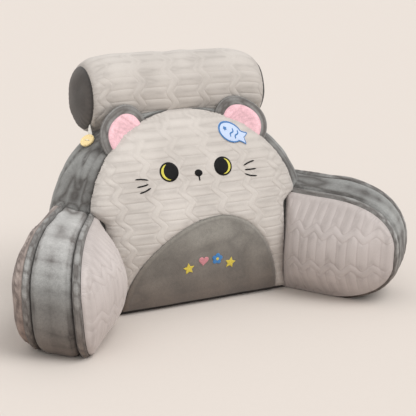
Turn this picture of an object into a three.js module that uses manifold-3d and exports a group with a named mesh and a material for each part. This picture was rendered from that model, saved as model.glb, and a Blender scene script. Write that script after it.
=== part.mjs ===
// A back-rest pillow with two arm rests, a cat face and a buttoned head roll.
// Millimetres, +Z up. X runs across the pillow and the sitter faces -Y.
// Shapes are worked out from the front seam, which meets the floor at y = 0,
// and the whole is then moved so that the origin is the middle of the underside.
import * as THREE from "three";
import { mergeVertices } from "three/addons/utils/BufferGeometryUtils.js";
import Module from "manifold-3d";

const wasm = await Module();
wasm.setup();

// Driving dimensions

const GAP = 0.4; // between pieces that are sewn together

const BODY = { baseMiddle: 100, depth: 205, curveStart: 75, curveTop: 55, topRise: 3.8 };

// The front seam: an arch above the arms, a neck between them, a small flare at the floor.
const SEAM = {
  arch: { halfWidth: 230, centreZ: 190, rise: 200 },
  neck: { halfWidth: 199, topZ: 186, shoulderZ: 218, flare: 12, flareHeight: 40 },
  bottomZ: 6,
  topZ: 389,
  leanBack: 90,
  leanHeight: 395,
};

const QUILT = { strip: 21, cell: 72, zigzag: 8, ridge: 8, shoulder: 14, groove: 3, start: 3, drift: -1.5 };

const CROWN = { edge: 5, round: 15, roundWidth: 45, belly: 20, bellyZ: 155, bellySpread: 85, bellyWidth: 240 };

const BELLY = {
  x: 34,
  left: { reach: 208, power: 1.8 },
  right: { reach: 141, power: 2 },
  height: 186,
  hubZ: 70,
  depth: 9,
  proud: 1.5,
  edge: 0.35,
};

// Outlines of the body behind the front seam, from front to back.
const HULL = [
  { name: "gusset front", out: 0.42, halfWidth: 288, rise: 248, middle: 150, power: 2, depth: 0.12 },
  { name: "gusset swell", out: 0.8, halfWidth: 288, rise: 248, middle: 150, power: 2, depth: 0.45 },
  { name: "widest", out: 1, halfWidth: 288, rise: 248, middle: 150, power: 2, depth: 1 },
  { name: "rear shoulder", back: 0.5, halfWidth: 264, rise: 244, middle: 150, power: 2.2 },
  { name: "back seam", back: 0.84, halfWidth: 226, rise: 210, middle: 150, power: 2.2 },
  { name: "back swell", back: 1, halfWidth: 156, rise: 130, middle: 150, power: 2.2 },
];

// An arm rest seen from its side is a D. across 0 is the seat side, 1 the outer side; the D's top and
// foot are super-ellipses with a power for either side.
const ARM = {
  inner: { x: 209, y: 0, lean: 12, splay: 28, centre: 60, reach: 188, middleZ: 98, rise: 108, drop: 102 },
  outer: { x: 308, y: 9, lean: 0, splay: 35, centre: 20, middleZ: 112, rise: 125, drop: 116 },
  rear: -70,
  rearRise: 4,
  sides: [
    { name: "left", sign: -1, top: [2.3, 2.3], foot: [4, 2.7], footDrop: 6, slump: 18, outerReach: 174 },
    { name: "right", sign: 1, top: [2.6, 2.3], foot: [2.3, 2.3], footDrop: 0, slump: 4, outerReach: 164 },
  ],
  lip: { width: 0.15, depth: 18, proud: 5 },
  bandProud: 6,
  panel: { rearEdge: -8, crown: 47, round: 14, roundWidth: 60, start: 2 },
  sideCrown: 32,
};

const BOLSTER = {
  x: 11.5,
  y: 155,
  z: 423,
  tilt: 0.5,
  halfLength: 192,
  radius: 78,
  endRadius: 64,
  endRound: 70,
  droop: 8,
  strips: 20,
  turn: 0.8,
  start: 46.5,
  capBulge: 26,
};

const EAR = {
  inner: { x: 79, y: 76, z: 378 },
  outer: { x: 177, y: 39, z: 317.5 },
  lean: 0.12,
  height: 58,
  skew: 5,
  sink: 14,
  thickness: 8,
  lining: { scale: 0.76, bulge: 3 },
};

const FISH = { x: 92, z: 342, tilt: -25, length: 25, height: 19, tail: 15, tailHeight: 13, thickness: 2 };

const BUTTON = {
  centre: { x: 192.5, y: 98.9, z: 337.7 },
  normal: { x: 0.56, y: -0.3, z: 0.77 },
  radius: 15,
  thickness: 5,
  dish: 1.5,
  holeRadius: 1.6,
  holeOffset: 4,
};

// The loop's angle is where it leaves the head roll, from straight down towards the front.
const STRAP = { width: 9, thickness: 1.6, angle: 37, clear: 3.3, steps: 8 };

const COLOURS = {
  quilt: { color: 0xcfc9c2, roughness: 0.85 },
  plush: { color: 0x7d7e7b, roughness: 0.95 },
  lining: { color: 0xf5c3cd, roughness: 0.9 },
  fish: { color: 0xa9cde6, roughness: 0.8 },
  elastic: { color: 0xf2efe8, roughness: 0.8 },
  wood: { color: 0xe8cd96, roughness: 0.55 },
};

// Small tools

const lerp = THREE.MathUtils.lerp;
const clamp = THREE.MathUtils.clamp;
const radians = THREE.MathUtils.degToRad;
const point = (x, y, z) => new THREE.Vector3(x, y, z);

const smooth = (t) => {
  const u = clamp(t, 0, 1);
  return u * u * (3 - 2 * u);
};

// A quarter round: 0 at the edge, 1 at width from it.
const quarterRound = (distance, width) => {
  const u = 1 - clamp(distance / width, 0, 1);
  return Math.sqrt(1 - u * u);
};

// Collects points and faces into one closed surface. A point's key says where it belongs along its row.
class Skin {
  constructor() {
    this.positions = [];
    this.indices = [];
    this.keys = [];
  }

  row(points) {
    return points.map((p, i) => {
      this.positions.push(p.x, p.y, p.z);
      this.keys.push(p.key ?? (i ? Infinity : -Infinity));
      return this.keys.length - 1;
    });
  }

  at(index) {
    return point().fromArray(this.positions, 3 * index);
  }

  face(...corners) {
    for (let i = 2; i < corners.length; i++) this.indices.push(corners[0], corners[i - 1], corners[i]);
  }

  // Joins two open rows that may hold different numbers of points, like keys to like keys.
  zip(a, b) {
    let i = 0;
    let j = 0;
    while (i < a.length - 1 || j < b.length - 1) {
      const nextA = i < a.length - 1 ? this.keys[a[i + 1]] : NaN;
      const nextB = j < b.length - 1 ? this.keys[b[j + 1]] : NaN;
      if (Number.isNaN(nextB) || nextA <= nextB) {
        this.face(a[i], a[i + 1], b[j]);
        i += 1;
      } else {
        this.face(a[i], b[j + 1], b[j]);
        j += 1;
      }
    }
  }

  // Joins two closed rings with the same number of points.
  band(a, b) {
    a.forEach((_, i) => {
      const next = (i + 1) % a.length;
      this.face(a[i], a[next], b[next], b[i]);
    });
  }

  fan(ring, hub) {
    const [centre] = this.row([hub]);
    ring.forEach((_, i) => this.face(ring[i], ring[(i + 1) % ring.length], centre));
  }

  // Closes a ring whose first half is the left side going up and second half the right side going down.
  ladder(ring) {
    const last = ring.length - 1;
    for (let i = 0; i < ring.length / 2 - 1; i++) {
      this.face(ring[i], ring[i + 1], ring[last - i - 1], ring[last - i]);
    }
  }

  // The finished geometry, its faces turned outwards.
  geometry() {
    const made = new THREE.BufferGeometry();
    made.setAttribute("position", new THREE.Float32BufferAttribute(this.positions, 3));
    let volume = 0;
    for (let i = 0; i < this.indices.length; i += 3) {
      const [a, b, c] = this.indices.slice(i, i + 3).map((index) => this.at(index));
      volume += a.dot(b.cross(c));
    }
    made.setIndex(volume < 0 ? [...this.indices].reverse() : this.indices);
    return made;
  }
}

// A closed solid through rings of equal count, closed at both ends by a fan.
function loftRings(rings) {
  const skin = new Skin();
  const rows = rings.map((ring) => skin.row(ring));
  rows.slice(1).forEach((row, i) => skin.band(rows[i], row));
  const middle = (ring) => ring.reduce((sum, p) => sum.add(p), point(0, 0, 0)).divideScalar(ring.length);
  skin.fan([...rows[0]].reverse(), middle(rings[0]));
  skin.fan(rows[rows.length - 1], middle(rings[rings.length - 1]));
  return skin.geometry();
}

// A closed ring of closed sections, such as a lip that goes all the way round.
function sweepRing(sections) {
  const skin = new Skin();
  const rows = sections.map((section) => skin.row(section));
  rows.forEach((row, i) => skin.band(row, rows[(i + 1) % rows.length]));
  return skin.geometry();
}

// A closed solid between a row-by-row front and a plain back with the same number of rows.
function rowSolid(frontRows, backRows) {
  const skin = new Skin();
  const front = frontRows.map((row) => skin.row(row));
  const back = backRows.map((row) => skin.row(row));
  const last = front.length - 1;
  for (let i = 0; i < last; i++) {
    skin.zip(front[i], front[i + 1]);
    skin.zip(back[i + 1], back[i]);
    skin.face(front[i][0], front[i + 1][0], back[i + 1][0], back[i][0]);
    skin.face(front[i + 1].at(-1), front[i].at(-1), back[i].at(-1), back[i + 1].at(-1));
  }
  skin.zip(back[0], front[0]);
  skin.zip(front[last], back[last]);
  return skin.geometry();
}

function solidOf(geometry) {
  const bare = geometry.clone();
  bare.deleteAttribute("normal");
  bare.deleteAttribute("uv");
  const merged = mergeVertices(bare, 1e-4);
  return new wasm.Manifold(
    new wasm.Mesh({
      numProp: 3,
      vertProperties: new Float32Array(merged.attributes.position.array),
      triVerts: new Uint32Array(merged.index.array),
    }),
  );
}

function geometryOf(solid) {
  const mesh = solid.getMesh();
  const made = new THREE.BufferGeometry();
  made.setAttribute("position", new THREE.BufferAttribute(new Float32Array(mesh.vertProperties), 3));
  made.setIndex(new THREE.BufferAttribute(new Uint32Array(mesh.triVerts), 1));
  return made;
}

// The largest body left when the tools are cut away.
function cut(geometry, ...tools) {
  const rest = tools.reduce((solid, tool) => solid.subtract(tool), solidOf(geometry));
  const bodies = rest.decompose().sort((a, b) => b.volume() - a.volume());
  return geometryOf(bodies[0]);
}

const pillow = new THREE.Group();

function add(name, geometry, look) {
  geometry.computeVertexNormals();
  const mesh = new THREE.Mesh(geometry, new THREE.MeshStandardMaterial({ ...COLOURS[look], metalness: 0 }));
  mesh.name = name;
  pillow.add(mesh);
  return mesh;
}

const mirrored = (geometry, sign) => {
  if (sign > 0) return geometry;
  const copy = geometry.clone().scale(-1, 1, 1);
  copy.setIndex([...copy.index.array].reverse());
  return copy;
};

// The front seam and the crowned front

const seamY = (z) => SEAM.leanBack * (Math.max(z, 0) / SEAM.leanHeight) ** BODY.topRise;

function seamX(z) {
  const { arch, neck } = SEAM;
  const onArch = (level) => arch.halfWidth * Math.sqrt(1 - ((level - arch.centreZ) / arch.rise) ** 2);
  if (z >= neck.shoulderZ) return onArch(z);
  const flare = neck.flare * (1 - clamp(z / neck.flareHeight, 0, 1)) ** 2;
  const widen = smooth((z - neck.topZ) / (neck.shoulderZ - neck.topZ));
  return lerp(neck.halfWidth + flare, onArch(neck.shoulderZ), widen);
}

const outline = Array.from({ length: 130 }, (_, i) => {
  const z = lerp(SEAM.bottomZ, SEAM.topZ, i / 129);
  return new THREE.Vector2(seamX(z), z);
});

// How far a point of the front is from the seam around it.
function edgeDistance(x, z) {
  const sides = outline.map((p) => Math.hypot(p.x - Math.abs(x), p.y - z));
  return Math.min(...sides, z - SEAM.bottomZ, SEAM.topZ - z);
}

function crown(x, z) {
  const round = CROWN.round * quarterRound(edgeDistance(x, z), CROWN.roundWidth);
  const swell = Math.exp(-(((z - CROWN.bellyZ) / CROWN.bellySpread) ** 2));
  return CROWN.edge + round + CROWN.belly * swell * Math.max(0, 1 - (x / CROWN.bellyWidth) ** 2);
}

const frontY = (x, z) => seamY(z) - GAP - crown(x, z);

// Heights of the quilting rows: every second one is a groove, and they are even along the cloth.
function quiltLevels() {
  const levels = [SEAM.bottomZ];
  let walked = 0;
  let previous = point(0, frontY(0, SEAM.bottomZ), SEAM.bottomZ);
  for (let z = SEAM.bottomZ + 0.5; z < SEAM.topZ; z += 0.5) {
    const here = point(0, frontY(0, z), z);
    walked += here.distanceTo(previous);
    previous = here;
    if (walked >= QUILT.strip / 2) {
      levels.push(z);
      walked = 0;
    }
  }
  levels[levels.length - 1] = SEAM.topZ;
  return levels;
}

const levels = quiltLevels();

// Stitches of the double zigzag line, about its middle: how deep each is on a strip and on a long groove.
const STITCHES = [
  { at: -QUILT.shoulder, strip: 0, groove: 1 },
  { at: -QUILT.ridge, strip: 1, groove: 1 },
  { at: 0, strip: 0.35, groove: 0.7 },
  { at: QUILT.ridge, strip: 1, groove: 1 },
  { at: QUILT.shoulder, strip: 0, groove: 1 },
];

// Stations across one row of quilting: places along it, how deep each is stitched in, and its key.
function quiltRow(low, high, row, offset) {
  const groove = row % 2 === 0;
  const shift = groove ? 0 : row % 4 === 1 ? QUILT.zigzag : -QUILT.zigzag;
  const margin = 38;
  const far = 1e6;
  const inner = [];
  const firstCell = Math.floor((low - offset) / QUILT.cell);
  const lastCell = Math.ceil((high - offset) / QUILT.cell);
  for (let cell = firstCell; cell <= lastCell; cell++) {
    STITCHES.forEach((stitch, i) => {
      const at = offset + cell * QUILT.cell + shift + stitch.at;
      const deep = groove ? stitch.groove : stitch.strip;
      if (at > low + margin && at < high - margin) inner.push({ at, deep, key: STITCHES.length * cell + i });
    });
  }
  const rim = [0, 6, 17, 33].filter((d, i) => i === 0 || low + d + 6 < (low + high) / 2);
  const rimDeep = (d) => (groove ? smooth(d / 20) : 0);
  return [
    ...rim.map((d) => ({ at: low + d, deep: rimDeep(d), key: d - far })),
    ...inner,
    ...rim.map((d) => ({ at: high - d, deep: rimDeep(d), key: far - d })).reverse(),
  ];
}

// The points of a quilting row, each keeping its station's key.
const quiltPoints = (stations, place) => stations.map((s) => Object.assign(place(s), { key: s.key }));

// The quilted front, grown by a little when it is used to trim what meets it.
function frontPanel(grow = 0) {
  const rows = levels.map((z, row) => {
    const half = seamX(z);
    const fade = smooth((z - SEAM.bottomZ) / 20) * smooth((SEAM.topZ - z) / 20);
    return quiltPoints(quiltRow(-half, half, row, QUILT.start + QUILT.drift * row), ({ at, deep }) =>
      point(at * (1 + grow / half), frontY(at, z) + QUILT.groove * deep * fade - 2 * grow, z),
    );
  });
  const backY = (z) => seamY(z) - GAP + grow;
  const back = levels.map((z) => [-1, 1].map((sign) => point(sign * (seamX(z) + grow), backY(z), z)));
  return rowSolid(rows, back);
}

// The belly patch: rings around a hub, from its crowned face over its edge to its back
function bellyPatch(grow, raise) {
  const arc = Array.from({ length: 29 }, (_, i) => Math.PI * (i / 28));
  const foot = SEAM.bottomZ;
  const ring = (scale, depth) => {
    const along = (angle) => {
      const side = angle > Math.PI / 2 ? BELLY.left : BELLY.right;
      const cos = Math.abs(Math.cos(angle)) ** (2 / side.power) * Math.sign(Math.cos(angle));
      const rise = Math.sin(angle) ** (2 / side.power);
      const top = SEAM.bottomZ + (BELLY.height - SEAM.bottomZ + grow) * rise;
      return { x: BELLY.x + (side.reach + grow) * cos * scale, z: lerp(BELLY.hubZ, top, scale) };
    };
    const bottom = [0.2, 0.4, 0.6, 0.8].map((u) => ({
      x: BELLY.x + lerp(-BELLY.left.reach, BELLY.right.reach, u) * scale,
      z: lerp(BELLY.hubZ, foot, scale),
    }));
    return [...arc.map(along), ...bottom].map(({ x, z }) => {
      const low = scale === 1 && z <= SEAM.bottomZ + grow ? foot : z;
      const level = Math.max(low, SEAM.bottomZ);
      const deep = Math.min(BELLY.depth, crown(x, level) - 2);
      return point(x, frontY(x, level) + depth(deep), low);
    });
  };
  const face = () => (raise ? -raise : -BELLY.proud);
  const edge = (deep) => (raise ? -raise : BELLY.edge * deep);
  const back = (deep) => deep + grow;
  return loftRings([
    ring(0.25, face),
    ring(0.55, face),
    ring(0.8, face),
    ring(0.94, face),
    ring(1, edge),
    ring(1, back),
    ring(0.6, back),
  ]);
}

// The body behind the seam

function bodyGeometry(grow = 0) {
  const heights = [0, ...levels.slice(1, -1).filter((_, i) => i % 2 === 1), SEAM.topZ];
  const hullX = (hull, z) => {
    const u = clamp((z - hull.middle) / (hull.rise + grow), 0, 1);
    const foot = 10 * (1 - clamp(z / 60, 0, 1)) ** 2;
    return (hull.halfWidth + grow) * (1 - u ** hull.power) ** (1 / hull.power) - foot;
  };
  const widestY = (z) => BODY.curveStart + BODY.curveTop * (z / 400) ** 3;
  const backY = (z) => BODY.depth + grow - 40 * (z / 400) ** 2 - 12 * (1 - clamp(z / 60, 0, 1)) ** 2;
  const ringAt = (place) => {
    const side = heights.map(place);
    return [...side.map((p) => point(-p.x, p.y, p.z)), ...side.reverse().map((p) => point(p.x, p.y, p.z))];
  };
  const rings = [ringAt((z) => point(seamX(z) + grow, seamY(z) - grow, z))];
  for (const hull of HULL) {
    const top = hull.middle + hull.rise + grow;
    rings.push(
      ringAt((level) => {
        const z = (level * (top - 1)) / SEAM.topZ;
        const full = hullX(hull, z);
        if (hull.back === undefined) {
          const zMixed = lerp(level, z, hull.out);
          const y = lerp(seamY(level), widestY(z), hull.depth) - (1 - hull.depth) * grow;
          return point(lerp(seamX(level) + grow, full, hull.out), y, zMixed);
        }
        return point(full, lerp(widestY(z), backY(z), hull.back), z);
      }),
    );
  }
  const skin = new Skin();
  const rows = rings.map((ring) => skin.row(ring));
  rows.slice(1).forEach((row, i) => skin.band(rows[i], row));
  skin.ladder([...rows[0]].reverse());
  skin.ladder(rows[rows.length - 1]);
  return skin.geometry();
}

// The arm rests, made for the right side and mirrored for the left

// A point of the arm: across from seat side to outer side, then along it, up, and out of its side.
function armPoint(across, along, up, out = 0) {
  const mix = (key) => lerp(ARM.inner[key], ARM.outer[key], across);
  const splay = radians(mix("splay"));
  return point(
    mix("x") + (mix("lean") * up) / 200 + Math.sin(splay) * along + Math.cos(splay) * out,
    mix("y") - Math.cos(splay) * along + Math.sin(splay) * out,
    up,
  );
}

// Height of the D's top and bottom at a place along the arm.
function armHeights(side, across, along, proud = 0) {
  const mix = (key) => lerp(ARM.inner[key], ARM.outer[key], across);
  const reach = lerp(ARM.inner.reach, side.outerReach, across) + proud;
  const u = clamp((along - mix("centre")) / reach, 0, 1);
  const full = ([inner, outer]) => {
    const power = lerp(inner, outer, across);
    return (1 - u ** power) ** (1 / power);
  };
  const behind = clamp((mix("centre") - along) / (mix("centre") - ARM.rear), 0, 1);
  const rise = mix("rise") - across * side.slump + proud;
  const drop = mix("drop") + side.footDrop + proud;
  return {
    top: mix("middleZ") + rise * full(side.top) + behind * ARM.rearRise,
    bottom: Math.max(0, mix("middleZ") - drop * full(side.foot)),
    tip: mix("centre") + reach,
  };
}

// The D as a closed ring of places: along the floor, round the front, back along the top.
function armLoop(side, across, proud) {
  const mix = (key) => lerp(ARM.inner[key], ARM.outer[key], across);
  const reach = lerp(ARM.inner.reach, side.outerReach, across) + proud;
  const front = 14;
  const loop = [];
  const floor = [ARM.rear, lerp(ARM.rear, mix("centre"), 0.5)];
  for (const along of floor) loop.push({ along, up: armHeights(side, across, along, proud).bottom });
  for (let i = 0; i <= front; i++) {
    const angle = lerp(-Math.PI / 2, Math.PI / 2, i / front);
    const power = 2 / lerp(...(angle < 0 ? side.foot : side.top), across);
    const cos = Math.max(Math.cos(angle), 0) ** power;
    const sin = Math.abs(Math.sin(angle)) ** power * Math.sign(angle);
    const tall = angle < 0 ? mix("drop") + side.footDrop : mix("rise") - across * side.slump;
    loop.push({
      along: mix("centre") + reach * cos,
      up: Math.max(0, mix("middleZ") + (tall + proud) * sin),
    });
  }
  for (const along of floor.reverse()) loop.push({ along, up: armHeights(side, across, along, proud).top });
  return loop;
}

const armRing = (side, across, proud, out = 0) =>
  armLoop(side, across, proud).map(({ along, up }) => armPoint(across, along, up, out));

function armCore(side) {
  const { width, depth } = ARM.lip;
  const slit = 0.006;
  const boss = -depth - GAP;
  return loftRings([
    armRing(side, 0.0, boss),
    armRing(side, width + slit / 2, boss),
    armRing(side, width + slit, -2),
    armRing(side, width + 0.08, ARM.bandProud - 2),
    armRing(side, 0.5, ARM.bandProud),
    armRing(side, 1 - width - 0.08, ARM.bandProud - 2),
    armRing(side, 1 - width - slit, -2),
    armRing(side, 1 - width - slit / 2, boss),
    armRing(side, 1, boss),
  ]);
}

function armLip(side, from, to) {
  const { depth, proud } = ARM.lip;
  const section = [
    { across: 0, proud: -depth },
    { across: 0, proud: 0 },
    { across: 0.2, proud: proud * 0.75 },
    { across: 0.5, proud },
    { across: 0.8, proud: proud * 0.75 },
    { across: 1, proud: 0 },
    { across: 1, proud: -depth },
  ];
  const rings = section.map((s) => armRing(side, lerp(from, to, s.across), s.proud));
  return sweepRing(rings[0].map((_, i) => rings.map((ring) => ring[i])));
}

// The quilted seat side. Its strips stand upright and its rows follow one another along the arm.
function armPanel(side) {
  const { rearEdge, crown: swell, round, roundWidth, start } = ARM.panel;
  const { tip } = armHeights(side, 0, 0);
  const edge = 2;
  const last = tip - edge - 1.5;
  const count = Math.round((last - rearEdge) / (QUILT.strip / 2));
  const place = (row) => lerp(rearEdge, last, row / count);
  const spans = Array.from({ length: count + 1 }, (_, row) => {
    const { top, bottom } = armHeights(side, 0, place(row), -edge);
    return { along: place(row), low: bottom + edge, high: top };
  });
  const rim = spans.flatMap((s) => [s.low, s.high].map((up) => new THREE.Vector2(s.along, up)));
  const nearest = (along, up) =>
    Math.min(along - rearEdge, last - along, ...rim.map((p) => Math.hypot(p.x - along, p.y - up)));
  const height = (along, up) => {
    const d = nearest(along, up);
    const u = (along - rearEdge) / (last - rearEdge);
    const v = (2 * up) / (ARM.inner.middleZ + ARM.inner.rise) - 1;
    const dome = Math.max(0, 1 - v ** 2) * Math.sin(Math.PI * u ** 0.75) ** 0.8;
    return 2 + round * quarterRound(d, roundWidth) + swell * dome * quarterRound(d, roundWidth);
  };
  const rows = spans.map(({ along, low, high }, row) => {
    const fade = smooth(Math.min(row, count - row) / 2);
    return quiltPoints(quiltRow(low, high, row, start), ({ at, deep }) =>
      armPoint(0, along, at, -GAP - height(along, at) + QUILT.groove * deep * fade),
    );
  });
  const back = spans.map(({ along, low, high }) => [low, high].map((up) => armPoint(0, along, up, -GAP)));
  return rowSolid(rows, back);
}

function armSide(side) {
  const steps = [
    { inset: 1, rise: 0 },
    { inset: 1, rise: 0.12 },
    { inset: 6, rise: 0.42 },
    { inset: 20, rise: 0.72 },
    { inset: 45, rise: 0.92 },
    { inset: 75, rise: 1 },
  ];
  return loftRings(steps.map(({ inset, rise }) => armRing(side, 1, -inset, GAP + rise * ARM.sideCrown)));
}

// The head roll, made along X about its middle

const placeBolster = (geometry) =>
  geometry.rotateY(radians(BOLSTER.tilt)).translate(BOLSTER.x, BOLSTER.y, BOLSTER.z);

function bolsterGeometry() {
  const { halfLength, radius, endRadius, endRound, droop, strips, turn, start } = BOLSTER;
  const rows = 2 * strips;
  const skin = new Skin();
  const reach = (x) => endRadius + (radius - endRadius) * quarterRound(halfLength - Math.abs(x), endRound);
  const sunk = (x) => droop * clamp((Math.abs(x) - halfLength + endRound) / endRound, 0, 1) ** 2;
  const made = Array.from({ length: rows }, (_, row) => {
    const angle = (2 * Math.PI * (row + turn)) / rows;
    return skin.row(
      quiltPoints(quiltRow(-halfLength, halfLength, row, start), ({ at, deep }) => {
        const r = reach(at) - QUILT.groove * deep;
        return point(at, r * Math.cos(angle), r * Math.sin(angle) - sunk(at));
      }),
    );
  });
  made.forEach((row, i) => skin.zip(row, made[(i + 1) % rows]));
  skin.fan(made.map((row) => row[0]), point(-halfLength, 0, -droop));
  skin.fan(made.map((row) => row.at(-1)).reverse(), point(halfLength, 0, -droop));
  return placeBolster(skin.geometry());
}

function bolsterTool(radius, halfLength) {
  const rod = new THREE.CylinderGeometry(radius, radius, 2 * halfLength, 48);
  return solidOf(placeBolster(rod.rotateZ(Math.PI / 2)));
}

function bolsterCap(sign) {
  const { endRadius, capBulge, halfLength } = BOLSTER;
  const profile = [
    { r: 0, out: 0 },
    { r: 1, out: 0 },
    { r: 0.99, out: 0.16 },
    { r: 0.88, out: 0.5 },
    { r: 0.65, out: 0.8 },
    { r: 0.35, out: 0.96 },
    { r: 0, out: 1 },
  ].map(({ r, out }) => new THREE.Vector2(r * (endRadius - 1), out * capBulge));
  const cap = new THREE.LatheGeometry(profile, 32);
  cap.rotateZ((-sign * Math.PI) / 2).translate(sign * (halfLength + GAP), 0, -BOLSTER.droop);
  return placeBolster(cap);
}

// The ears

// A padded leaf on the ear's own plane. scale shrinks it about its foot and depth is its way forward.
function earRing(scale, depth, sink) {
  const inner = point(EAR.inner.x, EAR.inner.y, EAR.inner.z);
  const outer = point(EAR.outer.x, EAR.outer.y, EAR.outer.z);
  const across = outer.clone().sub(inner).normalize();
  const half = inner.distanceTo(outer) / 2;
  const up = point(-across.z, EAR.lean, across.x);
  up.sub(across.clone().multiplyScalar(up.dot(across))).normalize();
  const forward = across.clone().cross(up).normalize();
  if (forward.y > 0) forward.negate();
  const middle = inner.clone().add(outer).multiplyScalar(0.5);
  const places = Array.from({ length: 19 }, (_, i) => {
    const angle = Math.PI * (1 - i / 18);
    const c = Math.cos(angle);
    const rise = Math.sin(angle) ** 0.8;
    return { u: Math.sign(c) * Math.abs(c) ** 0.9 * half - EAR.skew * rise, v: rise * EAR.height };
  });
  const foot = [0.8, 0.25, -0.25, -0.8].map((u) => ({ u: u * half, v: -sink }));
  return [...places, ...foot].map(({ u, v }) =>
    middle
      .clone()
      .addScaledVector(across, u * scale)
      .addScaledVector(up, v < 0 ? v * scale : v * scale + (1 - scale) * 2)
      .addScaledVector(forward, depth),
  );
}

function earGeometry() {
  const t = EAR.thickness;
  return loftRings([
    earRing(0.55, t, EAR.sink),
    earRing(0.8, t * 0.92, EAR.sink),
    earRing(0.94, t * 0.55, EAR.sink),
    earRing(1, 0, EAR.sink),
    earRing(0.94, -t * 0.55, EAR.sink),
    earRing(0.8, -t * 0.92, EAR.sink),
    earRing(0.55, -t, EAR.sink),
  ]);
}

function earLining() {
  const t = EAR.thickness + 2 * GAP;
  const { scale, bulge } = EAR.lining;
  return loftRings([
    earRing(scale * 0.5, t, 4),
    earRing(scale, t, 4),
    earRing(scale, t + bulge * 0.5, 4),
    earRing(scale * 0.85, t + bulge, 4),
    earRing(scale * 0.5, t + bulge, 4),
  ]);
}

// The small pieces

function fishPatch() {
  const count = 40;
  const tilt = radians(FISH.tilt);
  const places = Array.from({ length: count }, (_, i) => {
    const angle = (2 * Math.PI * i) / count;
    const body = point(FISH.length * Math.cos(angle), 0, FISH.height * Math.sin(angle));
    const fin = smooth((Math.cos(angle) - 0.82) / 0.12);
    const spread = clamp(Math.sin(angle) / 0.4, -1, 1);
    body.x += fin * FISH.tail * (0.35 + 0.65 * Math.abs(spread));
    body.z = lerp(body.z, FISH.tailHeight * spread, fin);
    return body;
  });
  const ring = (scale, lift) =>
    places.map((p) => {
      const x = FISH.x + scale * (p.x * Math.cos(tilt) - p.z * Math.sin(tilt));
      const z = FISH.z + scale * (p.x * Math.sin(tilt) + p.z * Math.cos(tilt));
      return point(x, frontY(x, z) - lift, z);
    });
  const low = 2 * GAP;
  const high = low + FISH.thickness;
  return loftRings([ring(0.5, low), ring(1, low), ring(1, high - 0.5), ring(0.93, high), ring(0.5, high)]);
}

// A button on one shoulder, dished and with two holes
function buttonGeometry(sign) {
  const { centre, normal, radius, thickness, dish } = BUTTON;
  const profile = [
    { r: 0, h: 0 },
    { r: radius - 1, h: 0 },
    { r: radius, h: 1 },
    { r: radius, h: thickness - 1 },
    { r: radius - 1, h: thickness },
    { r: radius - 2.5, h: thickness },
    { r: radius - 4, h: thickness - dish },
    { r: 0, h: thickness - dish },
  ].map(({ r, h }) => new THREE.Vector2(r, h));
  const hole = new THREE.CylinderGeometry(BUTTON.holeRadius, BUTTON.holeRadius, 4 * thickness, 12);
  const holes = [-1, 1].map((side) => solidOf(hole.clone().translate(side * BUTTON.holeOffset, 0, 0)));
  const up = point(sign * normal.x, normal.y, normal.z).normalize();
  return cut(new THREE.LatheGeometry(profile, 28), ...holes)
    .applyQuaternion(new THREE.Quaternion().setFromUnitVectors(point(0, 1, 0), up))
    .translate(sign * centre.x, centre.y, centre.z);
}

// The elastic loop, a tape that leaves the head roll's end seam edge on and turns flat under the button
function strapGeometry(sign) {
  const { width, thickness, clear, steps } = STRAP;
  const angle = radians(STRAP.angle);
  const around = point(0, Math.cos(angle), -Math.sin(angle));
  const top = point(sign * BOLSTER.halfLength, 0, -BOLSTER.droop)
    .addScaledVector(point(0, -Math.sin(angle), -Math.cos(angle)), BOLSTER.endRadius + clear)
    .applyAxisAngle(point(0, 1, 0), radians(BOLSTER.tilt))
    .add(point(BOLSTER.x, BOLSTER.y, BOLSTER.z));
  const up = point(sign * BUTTON.normal.x, BUTTON.normal.y, BUTTON.normal.z).normalize();
  const under = point(sign * BUTTON.centre.x, BUTTON.centre.y, BUTTON.centre.z);
  under.addScaledVector(up, -thickness / 2 - GAP);
  const uphill = top.clone().sub(under).projectOnPlane(up).normalize();
  const knee = under.clone().addScaledVector(uphill, BUTTON.radius + 2.5);
  const end = under.clone().addScaledVector(uphill, BUTTON.radius / 2);
  const flat = up.clone().cross(uphill);
  around.multiplyScalar(Math.sign(around.dot(flat)));
  const places = Array.from({ length: steps }, (_, i) => {
    const t = i / (steps - 1);
    return { at: top.clone().lerp(knee, t), wide: around.clone().lerp(flat, smooth(t)) };
  });
  places.push({ at: end, wide: flat });
  const sections = places.map(({ at, wide }, i) => {
    const before = places[Math.max(i - 1, 0)].at;
    const after = places[Math.min(i + 1, steps)].at;
    const along = after.clone().sub(before).normalize();
    const side = wide.clone().projectOnPlane(along).normalize();
    const thick = along.cross(side);
    return [[-1, -1], [1, -1], [1, 1], [-1, 1]].map(([u, v]) =>
      at.clone().addScaledVector(side, (u * width) / 2).addScaledVector(thick, (v * thickness) / 2),
    );
  });
  return loftRings(sections);
}

const bodyTool = solidOf(bodyGeometry(0.5));
const frontGrown = solidOf(frontPanel(0.5));
const bolsterGrown = bolsterTool(BOLSTER.radius + 0.5, BOLSTER.halfLength + BOLSTER.capBulge + 3);

add("body", cut(bodyGeometry(), bolsterGrown), "plush");
add("front_panel", cut(frontPanel(), solidOf(bellyPatch(GAP, 40))), "quilt");
add("belly_patch", bellyPatch(0, 0), "plush");

for (const side of ARM.sides) {
  const arm = (part, geometry, look) =>
    add(`arm_${side.name}${part}`, cut(mirrored(geometry, side.sign), bodyTool, frontGrown), look);
  arm("", armCore(side), "plush");
  arm("_panel", armPanel(side), "quilt");
  arm("_side", armSide(side), "plush");
  arm("_lip_inner", armLip(side, 0, ARM.lip.width), "plush");
  arm("_lip_outer", armLip(side, 1 - ARM.lip.width, 1), "plush");
}

for (const { name, sign } of ARM.sides) {
  const ear = mirrored(earGeometry(), sign);
  add(`ear_${name}`, cut(ear, bodyTool, frontGrown, bolsterGrown), "plush");
  add(`ear_${name}_lining`, cut(mirrored(earLining(), sign), bodyTool, frontGrown), "lining");
}

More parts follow.
